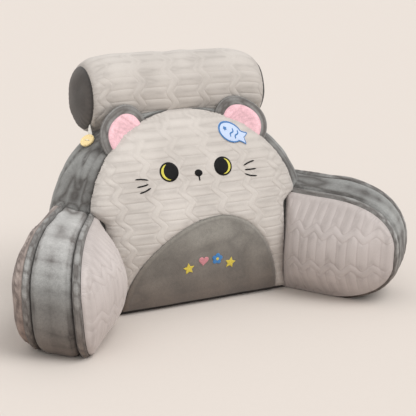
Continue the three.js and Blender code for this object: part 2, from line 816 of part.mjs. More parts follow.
add("fish_patch", fishPatch(), "fish");
add("bolster", bolsterGeometry(), "quilt");

for (const { name, sign } of ARM.sides) {
  add(`bolster_cap_${name}`, bolsterCap(sign), "plush");
  add(`strap_${name}`, strapGeometry(sign), "elastic");
  add(`button_${name}`, buttonGeometry(sign), "wood");
}

pillow.position.y = -BODY.baseMiddle;

export default pillow;
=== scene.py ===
"""Looks of a back-rest pillow with arm rests, a cat face and a buttoned head roll.

Shapes are worked out in millimetres from the front seam, as in the solids, and put into the row
frame in metres. Every filled piece is one dense mesh whose quilting, crown and folds are geometry.
"""

import math

import bmesh
import bpy
import numpy as np
from mathutils import Matrix, Vector
from mathutils.bvhtree import BVHTree


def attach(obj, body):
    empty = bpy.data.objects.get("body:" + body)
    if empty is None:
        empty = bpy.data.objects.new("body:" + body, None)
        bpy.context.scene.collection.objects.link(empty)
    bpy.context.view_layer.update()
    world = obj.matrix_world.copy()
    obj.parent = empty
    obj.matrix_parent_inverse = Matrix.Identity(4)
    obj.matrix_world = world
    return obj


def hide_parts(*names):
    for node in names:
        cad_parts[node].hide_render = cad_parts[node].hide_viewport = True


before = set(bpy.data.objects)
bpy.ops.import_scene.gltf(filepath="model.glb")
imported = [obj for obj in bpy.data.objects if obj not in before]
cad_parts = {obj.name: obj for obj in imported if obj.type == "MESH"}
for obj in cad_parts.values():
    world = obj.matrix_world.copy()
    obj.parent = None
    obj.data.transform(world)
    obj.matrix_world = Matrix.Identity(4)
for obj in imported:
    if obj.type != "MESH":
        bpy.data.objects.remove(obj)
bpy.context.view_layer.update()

# Sizes, shared with the solids

BASE_MIDDLE = 100.0
TOP_Z = 389.0
BOTTOM_Z = 6.0
ARCH = {"half": 230.0, "z": 190.0, "rise": 200.0}
NECK = {"half": 199.0, "top": 186.0, "shoulder": 218.0, "flare": 12.0, "flare_height": 40.0}
LEAN = {"back": 90.0, "height": 395.0, "power": 3.8}
QUILT = {"strip": 21.0, "cell": 72.0, "zigzag": 8.0, "ridge": 8.0, "depth": 1.7, "start": 3.0, "drift": -1.5}
BELLY = {"x": 34.0, "left": 208.0, "right": 141.0, "height": 186.0, "left_power": 1.8, "right_power": 2.0}
ARM_INNER = {"x": 209, "y": 0, "lean": 12, "splay": 28, "centre": 60, "middle": 98, "rise": 108, "drop": 102}
ARM_OUTER = {"x": 308, "y": 9, "lean": 0, "splay": 35, "centre": 20, "middle": 112, "rise": 125, "drop": 116}
ARM = {"rear": -70.0, "rear_rise": 4.0, "inner_reach": 188.0, "lip": 0.15, "side_crown": 32.0}
SIDES = [
    {"name": "left", "sign": -1, "foot": (4.0, 2.7), "round": 2.3, "foot_drop": 6, "slump": 18, "reach": 174},
    {"name": "right", "sign": 1, "foot": (2.3, 2.3), "round": 2.6, "foot_drop": 0, "slump": 4, "reach": 164},
]
ROUND = 2.3
ROLL = {"x": 11.5, "y": 155.0, "z": 423.0, "tilt": 0.5, "half": 192.0, "radius": 78.0, "end": 64.0,
        "end_round": 70.0, "droop": 8.0, "strips": 20, "turn": 0.8, "start": 46.5, "bulge": 20.0}
EAR = {"inner": (79, 76, 378), "outer": (177, 39, 317.5), "lean": 0.12, "height": 58, "sink": 14, "thick": 8,
       "skew": 5.0}
BUTTON = {"at": (192.5, 98.9, 337.7), "normal": (0.56, -0.3, 0.77), "radius": 15.0, "thick": 5.0}

# Small tools


def smooth(t):
    u = np.clip(t, 0, 1)
    return u * u * (3 - 2 * u)


def quarter_round(distance, width):
    u = 1 - np.clip(distance / width, 0, 1)
    return np.sqrt(1 - u * u)


def mix(a, b, t):
    return a + (b - a) * t


def unit(v):
    return v / np.linalg.norm(v)


def wobble(points, size, seed, waves=7):
    """Smooth unevenness from -1 to 1, about size millimetres from crest to crest."""
    rng = np.random.default_rng(seed)
    total = np.zeros(points.shape[:-1])
    for _ in range(waves):
        way = unit(rng.normal(size=3)) / (size * rng.uniform(0.7, 1.5))
        total += np.sin(2 * math.pi * (points @ way + rng.uniform()))
    return total / math.sqrt(waves * 2)


def stack(x, y, z):
    return np.stack(np.broadcast_arrays(x, y, z), -1).astype(float)


def turns(count):
    """Angles all the way round."""
    return np.linspace(0, 2 * math.pi, count, endpoint=False)


def nearest(x, z, points, near=1e9):
    """Distance to the nearest of some points, at most near."""
    for px, pz in points:
        near = np.minimum(near, np.hypot(px - x, pz - z))
    return near


def off_fold(points, fold):
    """How far along a fold's line each point is, from 0 to 1, and how far off it."""
    a, b = np.array(fold["a"], float), np.array(fold["b"], float)
    t = np.clip(((points - a) @ (b - a)) / np.dot(b - a, b - a), 0, 1)
    return t, np.linalg.norm(points - a - t[..., None] * (b - a), axis=-1)


# The front


def seam_y(z):
    return LEAN["back"] * (np.maximum(z, 0) / LEAN["height"]) ** LEAN["power"]


def seam_x(z):
    z = np.asarray(z, float)
    level = np.maximum(z, NECK["shoulder"])
    arch = ARCH["half"] * np.sqrt(np.maximum(0, 1 - ((level - ARCH["z"]) / ARCH["rise"]) ** 2))
    flare = NECK["flare"] * (1 - np.clip(z / NECK["flare_height"], 0, 1)) ** 2
    widen = smooth((z - NECK["top"]) / (NECK["shoulder"] - NECK["top"]))
    return np.where(z >= NECK["shoulder"], arch, mix(NECK["half"] + flare, arch, widen))


SEAM_Z = np.linspace(BOTTOM_Z, TOP_Z, 150)
SEAM_X = seam_x(SEAM_Z)


def edge_distance(x, z):
    """How far a point of the front is from the seam round it."""
    near = nearest(np.abs(x), z, zip(SEAM_X, SEAM_Z))
    return np.minimum(near, np.minimum(z - BOTTOM_Z, TOP_Z - z))


def crown(x, z):
    d = edge_distance(x, z)
    swell = 20 * np.exp(-(((z - 155) / 85) ** 2)) * np.maximum(0, 1 - (x / 240) ** 2)
    return 5 * quarter_round(d, 6) + 15 * quarter_round(d, 45) + swell * smooth(d / 6)


def front_y(x, z):
    return seam_y(z) - crown(x, z)


def quilt_levels():
    z = np.arange(BOTTOM_Z, TOP_Z, 0.5)
    line = stack(0.0, seam_y(z) - 5 - 15 * quarter_round(np.minimum(z - BOTTOM_Z, TOP_Z - z), 45)
                 - 20 * np.exp(-(((z - 155) / 85) ** 2)), z)
    along = np.concatenate([[0], np.cumsum(np.linalg.norm(np.diff(line, axis=0), axis=1))])
    half = QUILT["strip"] / 2
    count = int(along[-1] // half)
    levels = np.interp(np.arange(count + 1) * half, along, z)
    levels[-1] = TOP_Z
    return levels


LEVELS = quilt_levels()


def zigzag(row):
    """Sideways shift of the double zigzag stitching; it turns at the middle of each strip."""
    wave = np.sin(np.pi * np.asarray(row, float) / 2)
    return QUILT["zigzag"] * (0.6 * 2 / np.pi * np.arcsin(wave) + 0.4 * wave)


def quilting(column, row, offset):
    """How deep the quilting is drawn in, from 0 on a puff to 1 on a stitched line."""
    across = QUILT["strip"] / 2 * (1 - np.abs(np.mod(row, 2) - 1))
    phase = np.mod(column - offset, QUILT["cell"])
    beside = np.minimum(phase, QUILT["cell"] - phase) - QUILT["ridge"]
    line = np.abs(beside) * 0.8
    rounded = np.minimum(across, line) - 2.2 * np.exp(-np.abs(across - line) / 2.6)
    near = np.where(beside < 0, line, np.maximum(rounded, 0))
    return 1 - quarter_round(near + 0.3, 7.0) ** 0.9


CELL_STEPS = (0, 2.6, 4.8, 6.4, 7.3, 8, 8.7, 9.8, 11.8, 14.6, 18.5, 23.5, 29.5)
STRIP_STEPS = (0, 0.07, 0.16, 0.28, 0.44, 0.68)


def quilt_columns(low, high, offset):
    width = QUILT["cell"]
    cell = [*CELL_STEPS, width / 2, *[width - s for s in reversed(CELL_STEPS[1:])]]
    first, last = math.floor((low - offset) / width) - 1, math.ceil((high - offset) / width) + 1
    return np.array([offset + k * width + s for k in range(first, last) for s in cell])


def quilt_rows(count):
    strip = [*STRIP_STEPS, 1, *[2 - s for s in reversed(STRIP_STEPS[1:])]]
    rows = [2 * k + s for k in range(count // 2 + 1) for s in strip]
    return np.array([r for r in rows if r < count] + [float(count)])


# Meshes


def placed(name, data):
    made = bpy.data.objects.new(name, data)
    bpy.context.scene.collection.objects.link(made)
    return made


def to_row(points):
    return (np.asarray(points, float).reshape(-1, 3) - (0, BASE_MIDDLE, 0)) / 1000


def piece(name, points, faces, material, deep=None):
    mesh = bpy.data.meshes.new(name)
    mesh.from_pydata(to_row(points).tolist(), [], faces)
    # deep also sets the velvet's painted shade in the stitched lines
    if deep is not None:
        mesh.attributes.new("deep", "FLOAT", "POINT").data.foreach_set("value", np.ravel(deep).astype(float))
    made = bmesh.new()
    made.from_mesh(mesh)
    bmesh.ops.remove_doubles(made, verts=made.verts, dist=2e-5)
    bmesh.ops.dissolve_degenerate(made, edges=made.edges, dist=1e-6)
    bmesh.ops.recalc_face_normals(made, faces=made.faces)
    made.to_mesh(mesh)
    made.free()
    mesh.shade_smooth()
    mesh.materials.append(material)
    made = placed(name, mesh)
    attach(made, "root")
    return made


def grid_faces(rows, columns, closed=False):
    faces = []
    for i in range(rows - 1):
        for j in range(columns if closed else columns - 1):
            k = (j + 1) % columns
            here, above = i * columns, (i + 1) * columns
            faces.append([here + j, here + k, above + k, above + j])
    return faces


def grid_piece(name, grid, material, closed=False, caps=(), deep=None):
    """One mesh from a grid of points. caps names the end rows that a fan closes: 0, -1."""
    rows, columns = grid.shape[:2]
    faces = grid_faces(rows, columns, closed)
    points = grid.reshape(-1, 3)
    for cap in caps:
        ring = [(rows - 1 if cap else 0) * columns + j for j in range(columns)]
        faces += [[ring[j], ring[(j + 1) % columns], len(points)] for j in range(columns)]
        points = np.vstack([points, points[ring].mean(0)])
        deep = None if deep is None else np.append(np.ravel(deep), 0)
    return piece(name, points, faces, material, deep)


# Materials


def srgb(red, green, blue):
    """Shader colour from the 0 to 255 values seen in a picture."""
    tone = np.array([red, green, blue]) / 255
    linear = np.where(tone <= 0.04045, tone / 12.92, ((tone + 0.055) / 1.055) ** 2.4)
    return (*linear.tolist(), 1.0)


class Look:
    """A node material under construction."""

    def __init__(self, name, roughness=0.8, sheen=0.0, sheen_colour=None, specular=0.3):
        self.material = bpy.data.materials.new(name)
        self.material.use_nodes = True
        self.tree = self.material.node_tree
        self.shader = self.tree.nodes["Principled BSDF"]
        self.shader.inputs["Roughness"].default_value = roughness
        self.shader.inputs["Specular IOR Level"].default_value = specular
        self.shader.inputs["Sheen Weight"].default_value = sheen
        self.shader.inputs["Sheen Roughness"].default_value = 0.45
        if sheen_colour:
            self.shader.inputs["Sheen Tint"].default_value = sheen_colour
        self.place = self.node("ShaderNodeTexCoord").outputs["Object"]

    def node(self, kind, links=None, **values):
        made = self.tree.nodes.new(kind)
        for key, value in values.items():
            setattr(made, key, value)
        for key, value in (links or {}).items():
            socket = made.inputs[key]
            if isinstance(value, bpy.types.NodeSocket):
                self.tree.links.new(value, socket)
            else:
                socket.default_value = value
        return made

    def stretched(self, scale, turn=(0, 0, 0)):
        links = {"Vector": self.place, "Scale": scale, "Rotation": [math.radians(t) for t in turn]}
        return self.node("ShaderNodeMapping", links).outputs["Vector"]

    def noise(self, scale, detail=3, place=None, distortion=0.0):
        links = {"Vector": place or self.place, "Scale": scale, "Detail": detail, "Distortion": distortion}
        return self.node("ShaderNodeTexNoise", links).outputs["Fac"]

    def wave(self, scale, axis="X", **links):
        links = {"Vector": self.place, "Scale": scale, **links}
        return self.node("ShaderNodeTexWave", links, bands_direction=axis).outputs["Fac"]

    def spread(self, value, low, high, top=1.0):
        links = {"Value": value, "From Min": low, "From Max": high, "To Max": top}
        return self.node("ShaderNodeMapRange", links).outputs["Result"]

    def blend(self, factor, a, b, kind="MIX"):
        made = self.node("ShaderNodeMix", data_type="RGBA", blend_type=kind)
        for socket, value in ((0, factor), (6, a), (7, b)):
            if isinstance(value, bpy.types.NodeSocket):
                self.tree.links.new(value, made.inputs[socket])
            else:
                made.inputs[socket].default_value = value
        return made.outputs[2]

    def shaded(self, tone, factor, low, high):
        """A tone made darker or lighter, between two shares of itself."""
        shade = self.blend(factor, (low, low, low, 1), (high, high, high, 1))
        return self.blend(1.0, tone, shade, "MULTIPLY")

    def colour(self, socket):
        self.tree.links.new(socket, self.shader.inputs["Base Color"])

    def bump(self, *layers):
        """Stacks bumps given as (height socket, strength, depth in metres)."""
        normal = None
        for height, strength, depth in layers:
            links = {"Height": height, "Strength": strength, "Distance": depth}
            made = self.node("ShaderNodeBump", links)
            if normal:
                self.tree.links.new(normal, made.inputs["Normal"])
            normal = made.outputs["Normal"]
        self.tree.links.new(normal, self.shader.inputs["Normal"])


def painted_contact_shade(look, tone, strength):
    """Paints contact shade: darkens the cloth where it meets another mesh or nears the floor."""
    contact_shade = look.node("ShaderNodeAttribute", attribute_name="contact_shade").outputs["Fac"]
    share = look.node("ShaderNodeMath", {0: contact_shade, 1: strength}, operation="MULTIPLY").outputs[0]
    # painted shade: a dark warm tone is multiplied in where the cloth touches
    return look.blend(share, tone, look.blend(1.0, tone, (0.13, 0.10, 0.09, 1), "MULTIPLY"))


def by_height(look, low, high, strength):
    """A share that grows from 0 to strength between two heights in metres."""
    height = look.node("ShaderNodeSeparateXYZ", {"Vector": look.place}).outputs["Z"]
    return look.spread(height, low, high, strength)


def shade_towards_floor(look, tone, strength):
    """Painted shade and warm floor bounce: deepens the cloth to a warm dark tone towards the floor."""
    floor_shade_tone = look.blend(1.0, tone, (0.40, 0.26, 0.19, 1), "MULTIPLY")
    return look.blend(by_height(look, 0.15, 0.0, strength), tone, floor_shade_tone)


def plush(name, dark, light, sheen=0.4, seam=0.9, crest=0.0):
    """Short pile that brushes lighter and darker in soft patches, with a painted highlight on the crest of an
    arm rest, painted shade towards the floor and painted contact shade whose strength is seam.
    """
    look = Look(name, 0.9, sheen, srgb(240, 240, 238), 0.12)
    look.shader.inputs["Sheen Roughness"].default_value = 0.8
    brushed = look.spread(look.noise(9, 5, look.stretched((1, 1, 0.55), (0, 25, 0)), 0.2), 0.25, 0.75)
    specks = look.spread(look.noise(150, 2), 0.3, 0.7)
    pile = look.noise(500, 2)
    # painted shade towards the floor
    tone = shade_towards_floor(look, look.blend(brushed, srgb(*dark), srgb(*light)), 1.0)
    # painted highlight: pale towards the top of the arm rest, where the light falls
    tone = look.blend(by_height(look, 0.13, 0.2, crest), tone, srgb(190, 189, 187))
    tone = look.shaded(look.shaded(tone, specks, 0.9, 1.09), look.spread(pile, 0.3, 0.7), 0.86, 1.1)
    # painted contact shade, seam sets its strength
    look.colour(painted_contact_shade(look, tone, seam))
    look.bump((look.noise(45, 3), 0.15, 0.0015), (specks, 0.15, 0.0006), (pile, 0.3, 0.0006))
    return look.material


def velvet(name, base, groove_shade):
    """Quilted velvet with painted shade in the stitched lines, a fine nap and small creases."""
    look = Look(name, 0.7, 0.3, srgb(255, 250, 246), 0.25)
    deep = look.node("ShaderNodeAttribute", attribute_name="deep").outputs["Fac"]
    nap = look.noise(650, 2)
    cloudy = look.spread(look.noise(9, 3), 0.35, 0.65)
    tone = look.blend(cloudy, srgb(*[c - 5 for c in base]), srgb(*[min(c + 4, 255) for c in base]))
    # painted shade in the stitched lines, where deep is high, and painted shade towards the floor
    tone = shade_towards_floor(look, look.blend(look.spread(deep, 0.45, 1.0), tone, srgb(*groove_shade)), 0.3)
    # painted contact shade where the velvet meets other meshes
    look.colour(painted_contact_shade(look, look.shaded(tone, look.spread(nap, 0.3, 0.7), 0.95, 1.04), 0.25))
    creases = look.noise(55, 4, look.stretched((1, 1, 1.8)), 1.2)
    look.bump((creases, 0.08, 0.002), (nap, 0.2, 0.0005))
    return look.material


def thread(name, base, turn, shade=0.72, sheen=0.15):
    """Satin stitch: close parallel threads running at an angle."""
    look = Look(name, 0.5, sheen, None, 0.2)
    place = look.stretched((1, 1, 1), (0, turn, 0))
    lines = look.wave(260, **{"Vector": place, "Distortion": 0.8, "Detail": 2, "Detail Scale": 2})
    dark = srgb(*[c * shade for c in base])
    look.colour(look.blend(look.spread(lines, 0.1, 0.7), dark, srgb(*base)))
    look.bump((lines, 0.6, 0.0006))
    return look.material


def woven(name, base, rib, count):
    """Plain woven cloth or elastic with fine ribs."""
    look = Look(name, 0.75, 0.1, None, 0.3)
    ribs = [look.wave(count, axis, Distortion=0.3) for axis in "XZ"]
    both = look.node("ShaderNodeMath", {0: ribs[0], 1: ribs[1]}, operation="MAXIMUM").outputs[0]
    look.colour(look.blend(both, srgb(*rib), srgb(*base)))
    look.bump((both, 0.5, 0.0004))
    return look.material


def wood(name, pale, dark):
    look = Look(name, 0.42, 0, None, 0.4)
    grain = look.wave(170, Vector=look.stretched((1, 1, 0.2), (20, 35, 0)), Distortion=5, Detail=3)
    look.colour(look.blend(look.spread(grain, 0.2, 1.0), srgb(*pale), srgb(*dark)))
    look.bump((grain, 0.15, 0.0003))
    return look.material


def matt(name, base):
    look = Look(name, 0.95, 0, None, 0.1)
    grain = look.spread(look.noise(90, 3), 0.2, 0.8)
    look.colour(look.blend(grain, srgb(*[c - 1 for c in base]), srgb(*base)))
    look.bump((grain, 0.05, 0.0005))
    return look.material


DARK = plush("dark_plush", (133, 134, 132), (150, 151, 149), 0.15)
# the left band's copy carries a painted highlight on its crest
BAND = {"left": plush("band_plush_painted_highlight", (130, 131, 129), (147, 148, 146), 0.15, crest=0.7), "right": DARK}
SIDE = plush("side_plush", (174, 158, 150), (194, 181, 174), 0.15)
LIP = plush("lip_plush", (160, 160, 158), (178, 179, 177), 0.15)
CAP = plush("cap_plush", (34, 27, 24), (98, 91, 87), 0.2)
BELLY_PLUSH = plush("belly_plush", (118, 113, 105), (140, 136, 128), 0.3, seam=0.5)
PINK = plush("pink_plush", (240, 190, 200), (246, 201, 209), 0.2, seam=0.3)
QUILTED = velvet("quilted_velvet", (194, 188, 182), (184, 178, 172))
ROLL_QUILTED = velvet("roll_velvet", (187, 181, 175), (176, 170, 164))
ARM_QUILTED = velvet("arm_velvet", (188, 180, 177), (175, 165, 162))
FISH_CLOTH = woven("fish_cloth", (192, 206, 230), (172, 190, 220), 330)
ELASTIC = woven("elastic", (243, 241, 236), (224, 221, 216), 300)
WOOD = wood("button_wood", (250, 232, 180), (232, 200, 135))

# The camera of the photograph

camera_data = bpy.data.cameras.new("camera")
camera_data.sensor_width = 36.0
camera_data.lens = 95.04
camera = placed("camera", camera_data)
YAW, PITCH, ROLL_ANGLE = -0.462, 0.243, 0.011
right = Vector((math.cos(YAW), math.sin(YAW), 0))
ahead = Vector((-math.sin(YAW) * math.cos(PITCH), math.cos(YAW) * math.cos(PITCH), -math.sin(PITCH)))
upward = right.cross(ahead)
image_x = right * math.cos(ROLL_ANGLE) - upward * math.sin(ROLL_ANGLE)
image_y = right * math.sin(ROLL_ANGLE) + upward * math.cos(ROLL_ANGLE)
camera.matrix_world = Matrix.Translation((-0.9414, -2.0394, 0.7328)) @ Matrix(
    (image_x, image_y, -ahead)
).transposed().to_4x4()
bpy.context.scene.camera = camera

# The quilted front


def belly_span(rise):
    """The patch's left and right edges at a share of its height."""
    half = [BELLY[side] * (1 - rise ** BELLY[side + "_power"]) ** (1 / BELLY[side + "_power"])
            for side in ("left", "right")]
    return BELLY["x"] - half[0], BELLY["x"] + half[1]


def belly_inside(x, z):
    """Distance inside the belly patch's outline, negative outside it."""
    tall = BELLY["height"] - BOTTOM_Z
    rises = np.sin(np.linspace(0, math.pi / 2, 90))
    near = nearest(x, z, [(sx, BOTTOM_Z + tall * rise) for rise in rises for sx in belly_span(rise)])
    left, right = belly_span(np.clip((z - BOTTOM_Z) / tall, 0, 1))
    inside = (x > left) & (x < right) & (z < BELLY["height"])
    return np.where(inside, near, -near)


EYE = {"x": 60.0, "z": 279.0, "flat": 19.0}


def front_panel():
    rows = quilt_rows(len(LEVELS) - 1)
    z = np.interp(rows, np.arange(len(LEVELS)), LEVELS)[:, None]
    columns = quilt_columns(-235, 320, QUILT["start"])[None, :]
    half = seam_x(z)
    shift = (zigzag(rows) + QUILT["drift"] * rows)[:, None]
    x = np.clip(columns + shift, -half, half)
    z = z + 0 * x
    d = edge_distance(x, z)
    deep = quilting(x - shift, rows[:, None] + 0 * x, QUILT["start"])
    # the quilting and its painted shade fade at the edge and towards the top of the front
    deep = deep * smooth(d / 14) * (1 - 0.5 * smooth((z - 270) / 70))
    for side in SIDES:
        deep *= 0.25 + 0.75 * smooth((np.hypot(x - side["sign"] * EYE["x"], z - EYE["z"]) - EYE["flat"]) / 7)
    points = stack(x, 0.0, z)
    along = np.arctan2(z - ARCH["z"], x) * ARCH["half"]
    pucker = np.sin(2 * math.pi * (along / 15 + 0.5 * np.sin(along / 41))) * np.exp(-d / 11) * smooth(d / 3)
    inside = belly_inside(x, z)
    pocket = 9 * smooth((inside - 1) / 4) + 3 * np.exp(-np.maximum(-inside, 0) / 5) * (inside < 0)
    pocket += 3 * (inside >= 0)
    soft = 1.3 * wobble(points, 62, 3) + 0.2 * wobble(points, 24, 4)
    points[..., 1] = front_y(x, z) + QUILT["depth"] * deep + 0.7 * pucker + soft * smooth(d / 20) + pocket
    made = grid_piece("front_cushion", points, QUILTED, deep=deep)
    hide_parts("front_panel")
    return made


def belly_y(x, z):
    inside = belly_inside(x, z)
    points = stack(x, 0.0, z)
    soft = 1.2 * wobble(points, 70, 5) + 0.35 * wobble(points, 26, 6)
    return front_y(x, z) + 3.2 - 5.6 * quarter_round(inside, 13) + soft * smooth(inside / 20)


def belly_patch():
    rise = np.sin(np.linspace(0, math.pi / 2, 90))[:, None]
    z = BOTTOM_Z + (BELLY["height"] - BOTTOM_Z) * rise
    u = 0.5 + 0.5 * np.sin(np.linspace(-math.pi / 2, math.pi / 2, 150))[None, :]
    left, right = belly_span(rise)
    x = mix(left, right, u)
    z = z + 0 * x
    made = grid_piece("belly_cushion", stack(x, belly_y(x, z), z), BELLY_PLUSH)
    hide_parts("belly_patch")
    return made


# The body behind the seam

HULL = [
    {"out": 0.42, "half": 288, "rise": 248, "power": 2, "depth": 0.12},
    {"out": 0.8, "half": 288, "rise": 248, "power": 2, "depth": 0.45},
    {"out": 1, "half": 288, "rise": 248, "power": 2, "depth": 1},
    {"back": 0.5, "half": 264, "rise": 244, "power": 2.2},
    {"back": 0.84, "half": 226, "rise": 210, "power": 2.2},
    {"back": 1, "half": 156, "rise": 130, "power": 2.2},
]
HULL_MIDDLE = 150.0


def curve_through(rows, count):
    """Catmull-Rom rows between the given ones."""
    rows = np.asarray(rows)
    padded = np.concatenate([[2 * rows[0] - rows[1]], rows, [2 * rows[-1] - rows[-2]]])
    made = []
    for place in np.linspace(0, len(rows) - 1, count):
        k = min(int(place), len(rows) - 2)
        t = place - k
        a, b, c, d = padded[k : k + 4]
        made.append(2 * b + (c - a) * t + (2 * a - 5 * b + 4 * c - d) * t**2 + (3 * b - a - 3 * c + d) * t**3)
    return np.array(made) / 2


def normals_of(grid):
    """Unit normals of a grid of points, by central differences."""
    across = np.gradient(grid, axis=1)
    along = np.gradient(grid, axis=0)
    normal = np.cross(across, along)
    return normal / np.maximum(np.linalg.norm(normal, axis=-1, keepdims=True), 1e-9)


def body_ring(hull, level):
    """One side of a ring of the body, x positive, from the floor to the top."""
    if hull is None:
        return stack(seam_x(level), seam_y(level), level)
    z = level * (HULL_MIDDLE + hull["rise"] - 1) / TOP_Z
    u = np.clip((z - HULL_MIDDLE) / hull["rise"], 0, 1)
    foot = 10 * (1 - np.clip(z / 60, 0, 1)) ** 2
    full = hull["half"] * (1 - u ** hull["power"]) ** (1 / hull["power"]) - foot
    widest = 75 + 55 * (z / 400) ** 3
    rear = 205 - 40 * (z / 400) ** 2 - 12 * (1 - np.clip(z / 60, 0, 1)) ** 2
    if "back" in hull:
        return stack(full, mix(widest, rear, hull["back"]), z)
    return stack(mix(seam_x(level), full, hull["out"]), mix(seam_y(level), widest, hull["depth"]),
                 mix(level, z, hull["out"]))


# Folds of the gusset, mirrored to both sides: ends, width and depth.
FOLDS = [
    {"a": (196, 90, 334), "b": (262, 105, 262), "width": 7, "depth": 4.5},
    {"a": (206, 70, 322), "b": (232, 40, 268), "width": 5, "depth": 2.5},
    {"a": (176, 95, 345), "b": (150, 70, 362), "width": 5, "depth": 2.5},
    {"a": (262, 60, 240), "b": (283, 105, 190), "width": 8, "depth": 3},
]


def fold_depth(points, folds):
    total = np.zeros(points.shape[:-1])
    ways = np.abs(points) * (1, 0, 0) + points * (0, 1, 1)
    for fold in folds:
        t, off = off_fold(ways, fold)
        off = off / fold["width"]
        ends = np.sin(math.pi * np.clip(t, 0.02, 0.98)) ** 0.5
        total += fold["depth"] * ends * (np.exp(-(off**2)) - 0.5 * np.exp(-((off - 1.8) ** 2)))
    return total


BODY_ROWS = 66
BODY_CLOSING = (0.08, 0.2, 0.36, 0.55, 0.75, 0.92)


def body():
    level = np.concatenate([np.linspace(0, 12, 5)[:-1], np.linspace(12, TOP_Z, 130)])
    rings = []
    for hull in [None, *HULL]:
        side = body_ring(hull, level)
        top, foot = side[-1], side[0]
        over = np.array([top * (-u, 1, 1) for u in np.linspace(-1, 1, 14)[1:-1]])
        under = np.array([foot * (u, 1, 1) for u in np.linspace(-1, 1, 40)[1:-1]])
        rings.append(np.concatenate([side, over, side[::-1] * (-1, 1, 1), under]))
    grid = curve_through(rings, BODY_ROWS)
    last = grid[-1]
    middle = last.mean(0)
    inner = [mix(last, middle, s) + (0, 7 * (1 - (1 - s) ** 2), 0) for s in BODY_CLOSING]
    grid = np.concatenate([grid, inner])
    grid[..., 2] = np.maximum(grid[..., 2], 0)
    normal = normals_of(grid)
    centre = np.array([0, 110.0, 160.0])
    normal *= np.sign(np.sum(normal * (grid - centre), -1, keepdims=True))
    seam = np.arange(len(grid))[:, None] / BODY_ROWS * 330
    bulge = 2.0 * wobble(grid, 105, 11) + 0.4 * wobble(grid, 42, 12)
    pucker = 0.7 * wobble(grid, 17, 13) * np.exp(-seam / 10)
    lift = (bulge + pucker - fold_depth(grid, FOLDS)) * smooth(seam / 14) * smooth(grid[..., 2] / 25)
    grid = grid + normal * lift[..., None]
    grid[..., 2] = np.maximum(grid[..., 2], 0)
    made = grid_piece("body_cushion", grid, DARK, closed=True, caps=(0, -1))
    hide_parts("body")


# The arm rests, made on the right and mirrored for the left


def arm_mix(key, across):
    return mix(ARM_INNER[key], ARM_OUTER[key], across)


def arm_point(across, along, up, out=0.0):
    splay = np.radians(arm_mix("splay", across))
    lean = arm_mix("lean", across) * up / 200
    x = arm_mix("x", across) + lean + np.sin(splay) * along + np.cos(splay) * out
    y = arm_mix("y", across) - np.cos(splay) * along + np.sin(splay) * out
    return stack(x, y, up)


def arm_profile(side, across, proud, count=110):
    """The D of an arm: along the floor, round the front and back over the top, as along and up."""
    centre, middle = arm_mix("centre", across), arm_mix("middle", across)
    reach = mix(ARM["inner_reach"], side["reach"], across) + proud
    rise = arm_mix("rise", across) - across * side["slump"] + proud
    drop = arm_mix("drop", across) + side["foot_drop"] + proud
    angle = np.linspace(-math.pi / 2, math.pi / 2, count)
    power = 2 / np.where(angle < 0, mix(*side["foot"], across), mix(side["round"], ROUND, across))
    along = centre + reach * np.maximum(np.cos(angle), 0) ** power
    up = middle + np.where(angle < 0, drop, rise) * np.abs(np.sin(angle)) ** power * np.sign(angle)
    rear = np.linspace(ARM["rear"], centre, 24)[:-1]
    top = middle + rise + ARM["rear_rise"] * (centre - rear) / (centre - ARM["rear"])
    along = np.concatenate([rear, along, rear[::-1]])
    up = np.concatenate([np.full(rear.shape, middle - drop), up, top[::-1]])
    return along, np.maximum(up, 0)


def arm_grid(side, acrosses, prouds, outs=None):
    outs = np.zeros(len(acrosses)) if outs is None else outs
    rows = []
    for across, proud, out in zip(acrosses, prouds, outs):
        along, up = arm_profile(side, across, proud)
        rows.append(arm_point(across, along, up, out))
    return np.array(rows)


def wrinkled(grid, lift, outwards):
    """Moves a grid along its normals, which are turned to point away from a middle point."""
    normal = normals_of(grid)
    normal *= np.sign(np.sum(normal * (grid - outwards), -1, keepdims=True))
    moved = grid + normal * lift[..., None]
    moved[..., 2] = np.maximum(moved[..., 2], 0)
    return moved


def gathers(length, size, seed):
    """Uneven little pleats along a seam."""
    rng = np.random.default_rng(seed)
    phase = rng.uniform(0, 6, 3)
    wander = 0.35 * np.sin(length / 47 + phase[0]) + 0.2 * np.sin(length / 19 + phase[1])
    swell = 0.55 + 0.45 * np.sin(length / 71 + phase[2])
    return swell * np.sin(2 * math.pi * (length / size + wander))


def walked(grid):
    step = np.linalg.norm(np.diff(grid, axis=1), axis=-1)
    return np.concatenate([np.zeros((len(grid), 1)), np.cumsum(step, axis=1)], axis=1)


def arm_middle(across=0.5):
    return arm_point(across, 60.0, 95.0).reshape(3)


def flip(grid, side):
    return grid * (side["sign"], 1, 1)


def arm_band(side, seed):
    lip = ARM["lip"]
    t = np.linspace(0, 1, 46)
    edge = np.minimum(t, 1 - t) * 70
    proud = -7 + 13 * quarter_round(edge, 16)
    grid = arm_grid(side, mix(lip, 1 - lip, t), proud)
    pleat = 0.6 * gathers(walked(grid), 13, seed) * np.exp(-edge / 7)[:, None]
    lift = 1.3 * wobble(grid, 80, seed + 1) + 0.25 * wobble(grid, 30, seed + 2) + pleat
    grid = wrinkled(grid, lift * smooth(edge / 5)[:, None], arm_middle())
    made = grid_piece(f"arm_{side['name']}_band", flip(grid, side), BAND[side["name"]])
    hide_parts(f"arm_{side['name']}")


